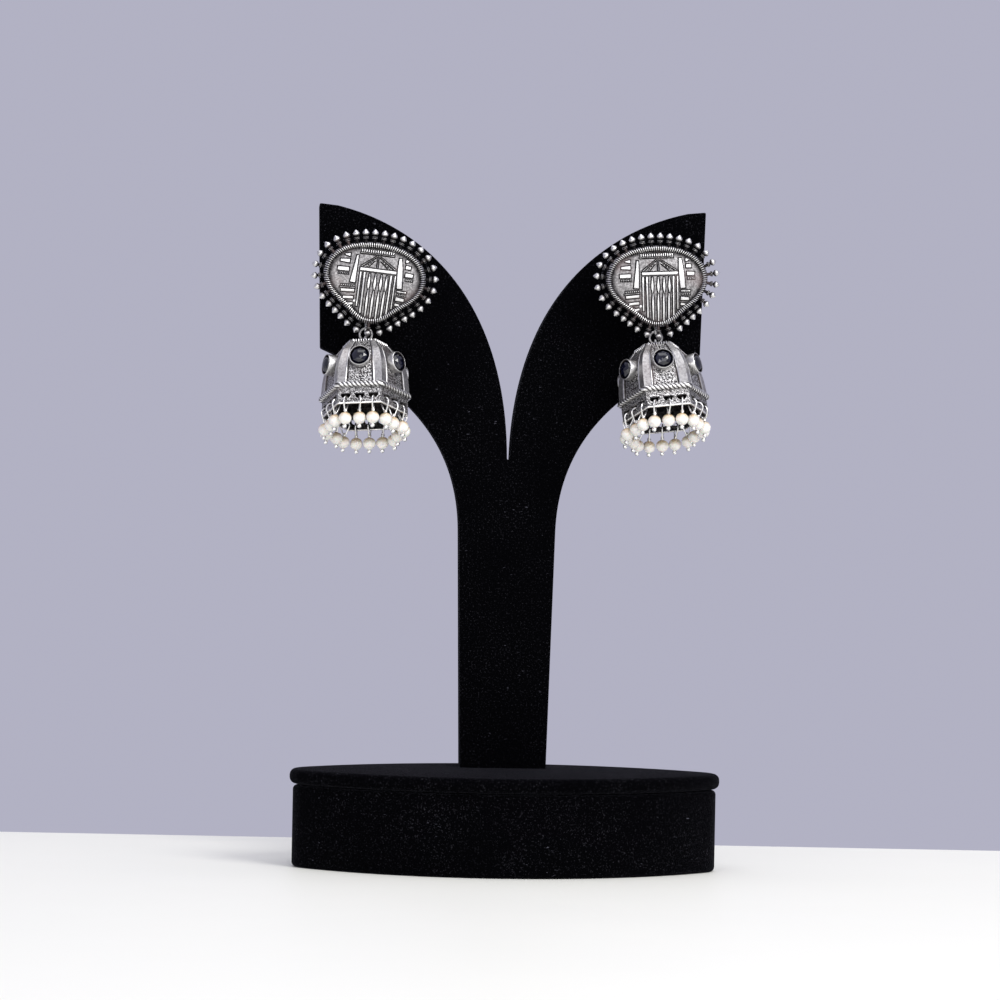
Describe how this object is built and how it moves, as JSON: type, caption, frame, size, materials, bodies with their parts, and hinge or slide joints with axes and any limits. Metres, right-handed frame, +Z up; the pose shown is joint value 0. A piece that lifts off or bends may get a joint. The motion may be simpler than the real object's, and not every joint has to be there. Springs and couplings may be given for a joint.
{
  "type": "pair of jhumka earrings on a display stand",
  "caption": "Oxidised silver jhumka earrings with relief studs, ribbed bells, dark stones and pearl fringes, hung on a Y-shaped black velvet display stand.",
  "frame": {"origin": "middle of the stand's foot, on its underside", "axes": "+X to the right as the earrings are looked at, +Y away from the viewer, +Z up"},
  "size_m": [0.1002, 0.0482, 0.1544],
  "materials": {
    "black_velvet": "velvet",
    "oxidised_silver": "oxidised, polished on its raised parts",
    "dark_stone": "polished",
    "pearl": "pearly"
  },
  "bodies": {
    "stand_and_studs": {"stand_base": "black_velvet", "stand_top_board": "black_velvet", "stand_yoke": "black_velvet", "left_stud": "oxidised_silver", "right_stud": "oxidised_silver"},
    "left_link": {"left_link": "oxidised_silver"},
    "left_bell": {"left_bell": "oxidised_silver", "left_stone_1": "dark_stone", "left_stone_2": "dark_stone", "left_stone_3": "dark_stone", "left_stone_4": "dark_stone", "left_stone_5": "dark_stone", "left_stone_6": "dark_stone", "left_pearl_01": "pearl", "left_pearl_02": "pearl", "left_pearl_03": "pearl", "left_pearl_04": "pearl", "left_pearl_05": "pearl", "left_pearl_06": "pearl", "left_pearl_07": "pearl", "left_pearl_08": "pearl", "left_pearl_09": "pearl", "left_pearl_10": "pearl", "left_pearl_11": "pearl", "left_pearl_12": "pearl", "left_pearl_13": "pearl", "left_pearl_14": "pearl", "left_pearl_15": "pearl", "left_pearl_16": "pearl", "left_pearl_17": "pearl", "left_pearl_18": "pearl"},
    "right_link": {"right_link": "oxidised_silver"},
    "right_bell": {"right_bell": "oxidised_silver", "right_stone_1": "dark_stone", "right_stone_2": "dark_stone", "right_stone_3": "dark_stone", "right_stone_4": "dark_stone", "right_stone_5": "dark_stone", "right_stone_6": "dark_stone", "right_pearl_01": "pearl", "right_pearl_02": "pearl", "right_pearl_03": "pearl", "right_pearl_04": "pearl", "right_pearl_05": "pearl", "right_pearl_06": "pearl", "right_pearl_07": "pearl", "right_pearl_08": "pearl", "right_pearl_09": "pearl", "right_pearl_10": "pearl", "right_pearl_11": "pearl", "right_pearl_12": "pearl", "right_pearl_13": "pearl", "right_pearl_14": "pearl", "right_pearl_15": "pearl", "right_pearl_16": "pearl", "right_pearl_17": "pearl", "right_pearl_18": "pearl"}
  },
  "joints": [
    {"name": "left_link_swing", "type": "hinge", "parent": "stand_and_studs", "child": "left_link", "pos_m": [-0.0344, 0.00016, 0.12491], "axis": [0, 1, 0], "range_deg": [-8, 15]},
    {"name": "left_bell_swing", "type": "hinge", "parent": "left_link", "child": "left_bell", "pos_m": [-0.0344, 0.00016, 0.12207], "axis": [-1, 0, 0], "range_deg": [0, 25]},
    {"name": "right_link_swing", "type": "hinge", "parent": "stand_and_studs", "child": "right_link", "pos_m": [0.03324, 0.00016, 0.12564], "axis": [0, -1, 0], "range_deg": [-8, 15]},
    {"name": "right_bell_swing", "type": "hinge", "parent": "right_link", "child": "right_bell", "pos_m": [0.03324, 0.00016, 0.1228], "axis": [-1, 0, 0], "range_deg": [0, 25]}
  ]
}
